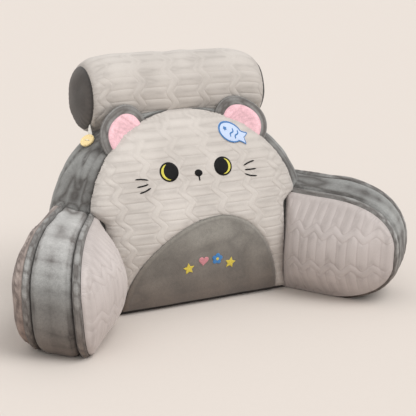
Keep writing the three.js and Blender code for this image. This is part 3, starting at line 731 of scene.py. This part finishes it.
def arm_lip(side, which, seed):
    lip = ARM["lip"]
    low, high = (0, lip) if which == "inner" else (1 - lip, 1)
    t = np.linspace(0, 1, 15)
    bulge = quarter_round(np.minimum(t, 1 - t), 0.5)
    across = np.concatenate([[low], mix(low, high, t), [high]])
    proud = np.concatenate([[-16], -5 + 10 * bulge, [-16]])
    grid = arm_grid(side, across, proud)
    profile = np.concatenate([[0], bulge, [0]])[:, None]
    lift = (0.35 * gathers(walked(grid), 16, seed) + 0.8 * wobble(grid, 55, seed + 1)) * profile
    grid = wrinkled(grid, lift, arm_middle())
    made = grid_piece(f"arm_{side['name']}_lip_{which}_roll", flip(grid, side), LIP)
    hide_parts(f"arm_{side['name']}_lip_{which}")


def arm_side(side, seed):
    inset = np.concatenate([[0, 0.6, 1.5, 3, 5, 8], np.linspace(11, 104, 34)])
    rise = np.interp(inset, [0, 1, 6, 20, 45, 75, 104], [-0.1, 0.1, 0.42, 0.72, 0.92, 1, 1.02])
    rise = 0.5 * rise + 0.5 * quarter_round(inset, 90)
    grid = arm_grid(side, np.ones(len(inset)), -inset, ARM["side_crown"] * rise)
    d = inset[:, None]
    pleat = 1.0 * gathers(walked(grid), 14, seed) * np.exp(-d / 14)
    lift = (2.2 * wobble(grid, 85, seed + 1) + 0.3 * wobble(grid, 38, seed + 2) + pleat) * smooth(d / 5)
    grid = wrinkled(grid, lift, arm_middle(0.3))
    spine = (grid[-1] + grid[-1][::-1]) / 2
    grid = np.concatenate([grid, [mix(grid[-1], spine, 0.5), spine]])
    made = grid_piece(f"arm_{side['name']}_outer_cushion", flip(grid, side), SIDE)
    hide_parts(f"arm_{side['name']}_side")


PANEL_START = 2.0


def arm_panel(side, seed):
    rear, swell = -8.0, 47.0
    along, up = arm_profile(side, 0.0, -1.0, 300)
    tip = along.max()
    front = np.argmax(along)
    last = tip - 1.5
    count = int(round((last - rear) / QUILT["strip"] * 2))
    rows = quilt_rows(count)
    place = mix(rear, last, rows / count)
    low = np.interp(place, along[: front + 1], up[: front + 1])[:, None]
    high = np.interp(place, along[front:][::-1], up[front:][::-1])[:, None]
    columns = quilt_columns(-30, 240, PANEL_START)[None, :]
    shift = zigzag(rows)[:, None]
    height = np.clip(columns + shift, low, high)
    share = (height - low) / np.maximum(high - low, 1e-6)
    bow = 16 * share * (1 - share) * np.sin(math.pi * rows / count)[:, None]
    along_grid = place[:, None] + bow
    near = np.minimum(along_grid - rear + 4, last - place[:, None])
    for edge in (low, high):
        near = nearest(along_grid, height, zip(place, edge[:, 0]), near)
    deep = quilting(height - shift, rows[:, None] + 0 * height, PANEL_START) * smooth(near / 12)
    u = (along_grid - rear) / (last - rear)
    v = 2 * height / (ARM_INNER["middle"] + ARM_INNER["rise"]) - 1
    dome = np.maximum(0, 1 - v**2) * np.sin(math.pi * np.clip(u, 0, 1) ** 0.75) ** 0.8
    out = (14 + swell * dome) * quarter_round(near, 60) + 2 * quarter_round(near, 4)
    points = stack(along_grid, 0.0, height)
    rim = np.arctan2(height - 98, along_grid - 60) * 110
    out += 0.9 * gathers(rim, 12, seed) * np.exp(-near / 11) * smooth(near / 3)
    out += 1.2 * wobble(points, 60, seed + 1) * smooth(near / 15)
    grid = arm_point(0.0, along_grid, height, -out + QUILT["depth"] * deep)
    name = f"arm_{side['name']}_inner_cushion"
    made = grid_piece(name, flip(grid, side), ARM_QUILTED, deep=deep)
    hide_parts(f"arm_{side['name']}_panel")


# The head roll


def place_roll(points):
    t = math.radians(ROLL["tilt"])
    turn = np.array([[math.cos(t), 0, math.sin(t)], [0, 1, 0], [-math.sin(t), 0, math.cos(t)]])
    return points @ turn.T + (ROLL["x"], ROLL["y"], ROLL["z"])


def roll_droop(x):
    """How far the roll's soft ends sink."""
    share = 1 - (ROLL["half"] - np.abs(x)) / ROLL["end_round"]
    return ROLL["droop"] * np.clip(share, 0, 1) ** 2


def roll():
    half, radius, end = ROLL["half"], ROLL["radius"], ROLL["end"]
    count = 2 * ROLL["strips"]
    rows = quilt_rows(count)[:-1]
    columns = quilt_columns(-half, half, ROLL["start"])[None, :]
    shift = zigzag(rows)[:, None]
    x = np.clip(columns + shift, -half, half)
    d = half - np.abs(x)
    angle = 2 * math.pi * (rows[:, None] + ROLL["turn"]) / count
    deep = quilting(x - shift, rows[:, None] + 0 * x, ROLL["start"]) * smooth(d / 10)
    # the quilting and its painted shade fade over the top of the roll
    deep = deep * (1 - 0.65 * smooth((np.sin(angle) - 0.1) / 0.7))
    r = end + (radius - end) * quarter_round(d, ROLL["end_round"])
    r = r - 2 * (1 - quarter_round(d, 3)) - QUILT["depth"] * deep
    points = stack(x, r * np.cos(angle), r * np.sin(angle))
    r = r + 0.6 * gathers(angle * radius + 3, 14, 31) * np.exp(-d / 7) * smooth(d / 3)
    r = r + 1.3 * wobble(points, 60, 32) * smooth(d / 12)
    grid = place_roll(stack(x, r * np.cos(angle), r * np.sin(angle) - roll_droop(x)))
    points = grid.transpose(1, 0, 2)
    made = grid_piece("head_roll", points, ROLL_QUILTED, closed=True, deep=deep.T)
    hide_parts("bolster")


def roll_cap(side, seed):
    s = np.linspace(0, 1, 34)
    radial = np.sin(s * math.pi / 2) ** 0.9
    angle = turns(160)
    r = radial[::-1, None] * (ROLL["end"] - 0.5)
    edge = ROLL["end"] - 0.5 - r
    out = -1.5 + ROLL["bulge"] * quarter_round(edge, 62)
    pleat = 1.0 * gathers(angle[None, :] * ROLL["end"] + 3, 13, seed) * np.exp(-edge / 13) * smooth(edge / 3)
    points = stack(0.0, r * np.cos(angle), r * np.sin(angle))
    out = out + pleat + 1.3 * wobble(points, 48, seed + 1) * smooth(edge / 15)
    z = r * np.sin(angle) - ROLL["droop"]
    grid = place_roll(stack(side["sign"] * (ROLL["half"] + out), r * np.cos(angle), z))
    made = grid_piece(f"roll_cap_{side['name']}", grid, CAP, closed=True)
    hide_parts(f"bolster_cap_{side['name']}")


# The ears

EAR_INNER, EAR_OUTER = np.array(EAR["inner"], float), np.array(EAR["outer"], float)
EAR_ACROSS = unit(EAR_OUTER - EAR_INNER)
EAR_HALF = np.linalg.norm(EAR_OUTER - EAR_INNER) / 2
EAR_UP = np.array([-EAR_ACROSS[2], EAR["lean"], EAR_ACROSS[0]])
EAR_UP = unit(EAR_UP - EAR_ACROSS * np.dot(EAR_UP, EAR_ACROSS))
EAR_AHEAD = unit(np.cross(EAR_ACROSS, EAR_UP))
EAR_AHEAD *= -np.sign(EAR_AHEAD[1])


def ear_outline(count=100):
    angle = math.pi * (1 - np.linspace(0, 1, count))
    c = np.cos(angle)
    rise = np.maximum(np.sin(angle), 0) ** 0.8
    u = np.sign(c) * np.abs(c) ** 0.9 * EAR_HALF - EAR["skew"] * rise
    v = rise * EAR["height"]
    foot = np.linspace(0.9, -0.9, 24) * EAR_HALF
    return np.concatenate([u, foot]), np.concatenate([v, np.full(24, -float(EAR["sink"]))])


def ear_point(u, v, ahead):
    middle = (EAR_INNER + EAR_OUTER) / 2
    return middle + u[..., None] * EAR_ACROSS + v[..., None] * EAR_UP + ahead[..., None] * EAR_AHEAD


def ear_front(s):
    """Way forward of an ear's front at a share of the way to its rim; the middle is dished."""
    return EAR["thick"] * np.sqrt(1 - np.minimum(s, 1) ** 6) - 3.5 * (1 - smooth(s / 0.8))


def ear(side, seed):
    u, v = ear_outline()
    s = np.concatenate([np.linspace(0.05, 1, 30), np.linspace(1, 0.05, 30)[1:]])[:, None]
    face = np.concatenate([np.ones(30), -np.ones(29)])[:, None]
    thick = np.where(face > 0, ear_front(s), -EAR["thick"] * np.sqrt(1 - s**6))
    grid = ear_point(u * s, v * s + 4 * (1 - s), thick + 0 * u)
    lift = 0.8 * wobble(grid, 40, seed) * smooth((1.02 - s) / 0.2)
    grid = grid + lift[..., None] * EAR_AHEAD * face[..., None]
    name = f"ear_{side['name']}_cushion"
    made = grid_piece(name, flip(grid, side), LIP, closed=True, caps=(0, -1))
    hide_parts(f"ear_{side['name']}")


# Folds of an ear's pink front, in its own plane: ends, width and depth.
EAR_FOLDS = [
    {"a": (-14, 36), "b": (-26, 0), "width": 3.4, "depth": 1.5},
    {"a": (18, 26), "b": (6, 6), "width": 3.6, "depth": 1.2},
]


def ear_lining(side, seed):
    u, v = ear_outline()
    v = np.where(v < 0, -12.0, v)
    s = np.linspace(0.04, 1, 44)[:, None]
    scale = 0.72
    uu, vv = u * s * scale + 2, v * s * scale + 3 * (1 - s)
    edge = (1 - s) * 40
    ahead = ear_front(s * scale) + 0.2 + 2.4 * quarter_round(edge, 8)
    for fold in EAR_FOLDS:
        off = off_fold(np.stack([uu, vv], -1), fold)[1] / fold["width"]
        ahead = ahead - fold["depth"] * (np.exp(-(off**2)) - 0.45 * np.exp(-((off / 2.2) ** 2)))
    grid = ear_point(uu, vv, ahead)
    grid = grid + 0.3 * wobble(grid, 24, seed)[..., None] * EAR_AHEAD
    name = f"ear_{side['name']}_pink"
    made = grid_piece(name, flip(grid, side), PINK, closed=True, caps=(0,))
    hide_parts(f"ear_{side['name']}_lining")


# Embroidery and the fish, laid on the front or the belly

THREADS = {
    "black": thread("thread_black", (14, 13, 14), 20, 0.6, 0.0),
    "lime": thread("thread_lime", (236, 226, 96), 60),
    "blue": thread("thread_blue", (78, 142, 206), 0),
    "pink": thread("thread_pink", (226, 152, 160), 35),
    "yellow": thread("thread_yellow", (238, 214, 86), 90),
    "sky": thread("thread_sky", (78, 134, 196), 45),
}


def tree_of(mesh):
    faces = [tuple(p.vertices) for p in mesh.polygons]
    return BVHTree.FromPolygons([v.co.copy() for v in mesh.vertices], faces)


def surface_of(made):
    """The height of a finished cushion's face under each point of the front."""
    tree = tree_of(made.data)

    def height(x, z):
        x, z = np.broadcast_arrays(np.asarray(x, float), np.asarray(z, float))
        found = []
        for px, pz in zip(x.ravel(), z.ravel()):
            at = tree.ray_cast(Vector((px / 1000, -1.0, pz / 1000)), Vector((0, 1, 0)))[0]
            found.append(at.y * 1000 + BASE_MIDDLE if at else front_y(px, pz))
        return np.array(found).reshape(x.shape)

    return height


def laid(at, surface, height):
    """Points over the cloth, from places on the front."""
    return stack(at[:, 0], surface(at[:, 0], at[:, 1]) - height, at[:, 1])


def laid_patch(name, outline, surface, lift, material, rings=9, hub=None):
    """A slightly domed shape, star-like about its hub, whose edge is sunk into the cloth."""
    hub = outline.mean(0) if hub is None else np.array(hub, float)
    rows = []
    for s in np.concatenate([[1.0], np.linspace(1, 0.06, rings)]):
        at = hub + (outline - hub) * s
        height = lift * (0.55 + 0.45 * quarter_round(1 - s, 0.5)) if len(rows) else -2.0
        rows.append(laid(at, surface, height))
    return grid_piece(name, np.array(rows), material, closed=True, caps=(-1,))


def laid_stroke(name, path, width, surface, lift, material):
    """A rounded line of stitches with tapered ends."""
    path = np.asarray(path, float)
    way = np.gradient(path, axis=0)
    way /= np.linalg.norm(way, axis=1, keepdims=True)
    side = np.stack([-way[:, 1], way[:, 0]], 1)
    t = np.linspace(0, 1, len(path))
    half = width / 2 * np.clip(np.minimum(t, 1 - t) * 8, 0.25, 1) ** 0.6
    rows = []
    for u, h in ((-1, -2.0), (-1, 0.25), (-0.6, 0.8), (0, 1.0), (0.6, 0.8), (1, 0.25), (1, -2.0)):
        at = path + side * (u * half)[:, None]
        height = h * lift if h > 0 else h
        rows.append(laid(at, surface, height))
    return grid_piece(name, np.array(rows), material)


def ellipse(x, z, rx, rz, count=64, tilt=0.0):
    angle = turns(count)
    a, b = rx * np.cos(angle), rz * np.sin(angle)
    c, s = math.cos(math.radians(tilt)), math.sin(math.radians(tilt))
    return np.stack([x + a * c - b * s, z + a * s + b * c], 1)


def bent(ax, az, bx, bz, sag, count=24):
    t = np.linspace(0, 1, count)
    a, b = np.array([ax, az], float), np.array([bx, bz], float)
    side = np.array([-(b - a)[1], (b - a)[0]])
    return a + (b - a) * t[:, None] + side * (sag * np.sin(math.pi * t))[:, None]


WHISKERS = [
    {"side": "left", "outer": (-134, 271.5), "inner": (-107, 268), "sag": 0.04},
    {"side": "left", "outer": (-132, 257), "inner": (-108, 260), "sag": -0.02},
    {"side": "left", "outer": (-128, 245), "inner": (-104, 253), "sag": -0.06},
    {"side": "right", "outer": (132.6, 283), "inner": (108, 275.6), "sag": -0.04},
    {"side": "right", "outer": (134.7, 267), "inner": (108.4, 267), "sag": 0.02},
    {"side": "right", "outer": (133.7, 253), "inner": (107.4, 259.4), "sag": 0.06},
]


def face(on_front):
    black = THREADS["black"]
    for side in SIDES:
        sign, name = side["sign"], side["name"]
        x, z = sign * EYE["x"], EYE["z"]
        eye = [
            ("rim", ellipse(x, z, 20.4, 18.4), 1.2, black),
            ("glow", ellipse(x, z, 18.0, 16.0), 1.6, THREADS["lime"]),
            ("pupil", ellipse(x - sign * 2.6, z + 0.6, 15.9, 15.6), 2.1, black),
        ]
        for part, outline, lift, colour in eye:
            laid_patch(f"eye_{name}_{part}", outline, on_front, lift, colour)
    for i, whisker in enumerate(WHISKERS):
        name = f"whisker_{whisker['side']}_{i + 1}"
        path = bent(*whisker["outer"], *whisker["inner"], whisker["sag"])
        laid_stroke(name, path, 2.8, on_front, 1.3, black)
    laid_patch("nose", ellipse(3, 271.5, 8.2, 6.6), on_front, 1.8, black)
    laid_stroke("mouth", bent(3, 267, 3, 256.5, 0.0), 3.0, on_front, 1.4, black)


def turned(outline, x, z, size, tilt):
    c, s = math.cos(math.radians(tilt)), math.sin(math.radians(tilt))
    at = np.asarray(outline, float) * size
    return np.stack([x + at[:, 0] * c - at[:, 1] * s, z + at[:, 0] * s + at[:, 1] * c], 1)


def star_outline(points=5, waist=0.5):
    corners = []
    for i in range(2 * points):
        r = 1.0 if i % 2 == 0 else waist
        a = math.pi / 2 + math.pi * i / points
        corners.append((r * math.cos(a), r * math.sin(a)))
    corners = np.array([*corners, corners[0]])
    return np.array([mix(a, b, t) for a, b in zip(corners, corners[1:]) for t in (0, 0.33, 0.66)])


def heart_outline(count=60):
    t = turns(count)
    x = 16 * np.sin(t) ** 3
    z = 13 * np.cos(t) - 5 * np.cos(2 * t) - 2 * np.cos(3 * t) - np.cos(4 * t)
    return np.stack([x, z], 1) / 16


def flower_outline(petals=5, count=90):
    t = turns(count)
    r = 0.68 + 0.32 * np.abs(np.cos(petals * t / 2)) ** 0.8
    return np.stack([r * np.cos(t), r * np.sin(t)], 1)


# Small generic motifs along a gentle arc of the belly.
MOTIFS = [
    {"shape": star_outline(), "x": -36, "z": 84, "size": 12.5, "tilt": 8, "colour": "yellow"},
    {"shape": heart_outline(), "x": -4, "z": 97, "size": 11, "tilt": -4, "colour": "pink"},
    {"shape": flower_outline(), "x": 27, "z": 97, "size": 12, "tilt": 12, "colour": "blue"},
    {"shape": star_outline(), "x": 58, "z": 84, "size": 12.5, "tilt": -10, "colour": "yellow"},
]


def motifs(on_belly):
    for i, motif in enumerate(MOTIFS):
        outline = turned(motif["shape"], motif["x"], motif["z"], motif["size"], motif["tilt"])
        hub, colour = (motif["x"], motif["z"]), THREADS[motif["colour"]]
        laid_patch(f"motif_{i + 1}", outline, on_belly, 1.5, colour, hub=hub)
    laid_patch("motif_3_eye", ellipse(27, 97, 3.4, 3.4), on_belly, 2.1, THREADS["yellow"])


FISH = {"x": 93, "z": 341.5, "tilt": -24, "length": 26.5, "height": 19.5, "tail": 14, "tail_height": 13}


def fish_outline(count=160, grow=0.0):
    angle = turns(count)
    x = (FISH["length"] + grow) * np.cos(angle)
    z = (FISH["height"] + grow) * np.sin(angle)
    fin = smooth((np.cos(angle) - 0.82) / 0.12)
    spread = np.clip(np.sin(angle) / 0.4, -1, 1)
    x = x + fin * FISH["tail"] * (0.35 + 0.65 * np.abs(spread))
    z = mix(z, (FISH["tail_height"] + grow) * spread, fin)
    return turned(np.stack([x, z], 1), FISH["x"], FISH["z"], 1.0, FISH["tilt"])


def fish(on_front):
    hub, sky = (FISH["x"], FISH["z"]), THREADS["sky"]
    made = laid_patch("fish_cloth_patch", fish_outline(), on_front, 2.4, FISH_CLOTH, 12, hub)
    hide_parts("fish_patch")
    over = surface_of(made)
    ring = fish_outline(grow=-1.6)
    laid_stroke("fish_edge", np.vstack([ring, ring[:2]]), 3.0, over, 1.0, sky)
    eye = turned(star_outline(waist=0.62), *fish_place(-13, 3), 4.4, 10)
    laid_patch("fish_eye", eye, over, 1.0, sky)
    for i, x in enumerate((2.0, 13.0)):
        t = np.linspace(-1, 1, 30)
        line = np.array([fish_place(x + 1.6 * math.sin(3 * math.pi * u / 2) + 3 * u, 9 * u) for u in t])
        laid_stroke(f"fish_scale_{i + 1}", line, 2.6, over, 1.0, sky)


def fish_place(along, up):
    return turned(np.array([[along, up]], float), FISH["x"], FISH["z"], 1.0, FISH["tilt"])[0]


# Buttons and elastic loops


def button_frame(side):
    at = np.array(BUTTON["at"]) * (side["sign"], 1, 1)
    up = unit(np.array(BUTTON["normal"]) * (side["sign"], 1, 1))
    first = unit(np.cross(up, (0, 0, 1)))
    return at, up, first, np.cross(up, first)


def button(side):
    at, up, first, second = button_frame(side)
    radius, thick = BUTTON["radius"], BUTTON["thick"]
    profile = [(0.6, 0), (radius - 2, 0), (radius - 0.6, 0.5), (radius, 1.6), (radius, thick - 1.6),
               (radius - 0.5, thick - 0.5), (radius - 1.7, thick), (radius - 2.8, thick - 0.5),
               (radius - 3.8, thick - 1.4), (radius - 6, thick - 1.9), (0.6, thick - 1.6)]
    smooth_profile = curve_through(profile, 56)
    angle = turns(64)
    ring = first * np.cos(angle)[:, None] + second * np.sin(angle)[:, None]
    grid = np.array([at + ring * r + up * h for r, h in smooth_profile])
    made = grid_piece(f"button_{side['name']}_disc", grid, WOOD, closed=True, caps=(0, -1))
    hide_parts(f"button_{side['name']}")
    cut = bmesh.new()
    for sign in (-1, 1):
        place = Matrix.Translation(to_row(at + first * 4 * sign)[0])
        turn = Vector(up).to_track_quat("Z", "Y").to_matrix().to_4x4()
        bmesh.ops.create_cone(cut, cap_ends=True, segments=20, radius1=0.0016, radius2=0.0016, depth=0.03,
                              matrix=place @ turn)
    mesh = bpy.data.meshes.new("button_holes")
    cut.to_mesh(mesh)
    cut.free()
    tool = placed("button_holes", mesh)
    holes = made.modifiers.new("holes", "BOOLEAN")
    holes.object, holes.operation, holes.solver = tool, "DIFFERENCE", "EXACT"
    with bpy.context.temp_override(object=made, active_object=made, selected_objects=[made]):
        bpy.ops.object.modifier_apply(modifier="holes")
    bpy.data.objects.remove(tool)
    t = np.linspace(-1, 1, 18)
    centre = at + first * (4.6 * t)[:, None] + up * (thick - 1.9 + 0.9 * np.sqrt(1 - t**2))[:, None]
    tube(f"button_{side['name']}_thread", centre, 0.8, ELASTIC)


def tube(name, path, radius, material, count=10):
    path = np.asarray(path, float)
    way = np.gradient(path, axis=0)
    way /= np.linalg.norm(way, axis=1, keepdims=True)
    side = np.cross(way, (0.3, 0.2, 1.0))
    side /= np.linalg.norm(side, axis=1, keepdims=True)
    other = np.cross(way, side)
    angle = turns(count)[:, None]
    around = side[:, None] * np.cos(angle) + other[:, None] * np.sin(angle)
    return grid_piece(name, path[:, None] + radius * around, material, closed=True, caps=(0, -1))


def strap(side):
    """The tape leaves the head roll's end seam edge on and turns flat under the button."""
    width, thick, angle = 9.0, 1.6, math.radians(37)
    around = np.array([0, math.cos(angle), -math.sin(angle)])
    down = np.array([0, -math.sin(angle), -math.cos(angle)])
    top = place_roll(np.array([side["sign"] * ROLL["half"], 0, -ROLL["droop"]]) + down * (ROLL["end"] - 1))
    at, up, _, _ = button_frame(side)
    under = at - up * (thick / 2 + 0.4)
    uphill = top - under
    uphill = unit(uphill - up * np.dot(uphill, up))
    knee = under + uphill * (BUTTON["radius"] + 2.5)
    end = under + uphill * (BUTTON["radius"] / 2)
    flat = np.cross(up, uphill)
    around = around * np.sign(np.dot(around, flat))
    sagging = [mix(top, knee, 0.35) + up * 0.8, mix(top, knee, 0.75) + up * 0.3]
    places = curve_through([top, *sagging, knee, end], 40)
    ways = np.gradient(places, axis=0)
    section = [(-1, -0.6), (-0.9, -1), (0.9, -1), (1, -0.6), (1, 0.6), (0.9, 1), (-0.9, 1), (-1, 0.6)]
    rows = []
    for i, (place, way) in enumerate(zip(places, ways)):
        way = unit(way)
        wide = mix(around, flat, smooth(i / 30))
        wide = unit(wide - way * np.dot(wide, way))
        out = np.cross(way, wide)
        rows.append([place + wide * (u * width / 2) + out * (v * thick / 2) for u, v in section])
    name = f"strap_{side['name']}_tape"
    made = grid_piece(name, np.array(rows), ELASTIC, closed=True, caps=(0, -1))
    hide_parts(f"strap_{side['name']}")


def store_contact_shade(reach=0.005):
    """Stores a painted contact shade for each point, from how near it comes to the other meshes, the solids
    included, and to the floor.
    """
    made = [o for o in bpy.context.scene.objects if o.type == "MESH"]
    trees = [tree_of(cushion.data) for cushion in made]
    places = [np.array([v.co[:] for v in cushion.data.vertices]) for cushion in made]
    boxes = [(at.min(0) - reach, at.max(0) + reach) for at in places]
    for i, (cushion, at) in enumerate(zip(made, places)):
        near = np.full(len(at), reach)
        for j, (low, high) in enumerate(boxes):
            touched = np.nonzero(np.all((at > low) & (at < high), axis=1))[0] if i != j else ()
            for k in touched:
                distance = trees[j].find_nearest(Vector(at[k]), near[k])[3]
                if distance is not None:
                    near[k] = min(near[k], distance)
        # painted contact shade near other meshes, and painted shade just above the floor
        contact_shade = np.exp(-near / 0.0014)
        contact_shade = np.maximum(contact_shade, 0.8 * np.exp(-at[:, 2] / 0.004))
        cushion.data.attributes.new("contact_shade", "FLOAT", "POINT").data.foreach_set("value", contact_shade)


# Everything

front = front_panel()
belly = belly_patch()
body()
for number, side in enumerate(SIDES):
    arm_band(side, 41 + 20 * number)
    arm_lip(side, "inner", 45 + 20 * number)
    arm_lip(side, "outer", 48 + 20 * number)
    arm_side(side, 51 + 20 * number)
    arm_panel(side, 55 + 20 * number)
    ear(side, 81 + 3 * number)
    ear_lining(side, 91 + 3 * number)
    roll_cap(side, 97 + 3 * number)
    button(side)
    strap(side)
roll()
store_contact_shade()
face(surface_of(front))
motifs(surface_of(belly))
fish(surface_of(front))

# Floor and light

FLOOR = matt("floor", (208, 200, 193))
floor_mesh = bpy.data.meshes.new("floor")
floor_mesh.from_pydata([(-40, -40, 0), (40, -40, 0), (40, 40, 0), (-40, 40, 0)], [], [[0, 1, 2, 3]])
floor_mesh.materials.append(FLOOR)
floor = placed("floor", floor_mesh)

world = bpy.data.worlds.new("studio")
bpy.context.scene.world = world
world.use_nodes = True
world.node_tree.nodes["Background"].inputs["Color"].default_value = (1.0, 0.985, 0.97, 1)
world.node_tree.nodes["Background"].inputs["Strength"].default_value = 0.84

LIGHTS = [
    {"name": "key", "strength": 1.75, "angle": 45, "to": (-0.45, 0.62, -1.0)},
    {"name": "fill", "strength": 0.5, "angle": 70, "to": (0.8, 0.9, -0.55)},
]
for light in LIGHTS:
    data = bpy.data.lights.new(light["name"], "SUN")
    data.energy = light["strength"]
    data.angle = math.radians(light["angle"])
    sun = placed(light["name"], data)
    sun.rotation_euler = Vector(light["to"]).to_track_quat("-Z", "Y").to_euler()

bpy.context.scene.view_settings.view_transform = "Standard"
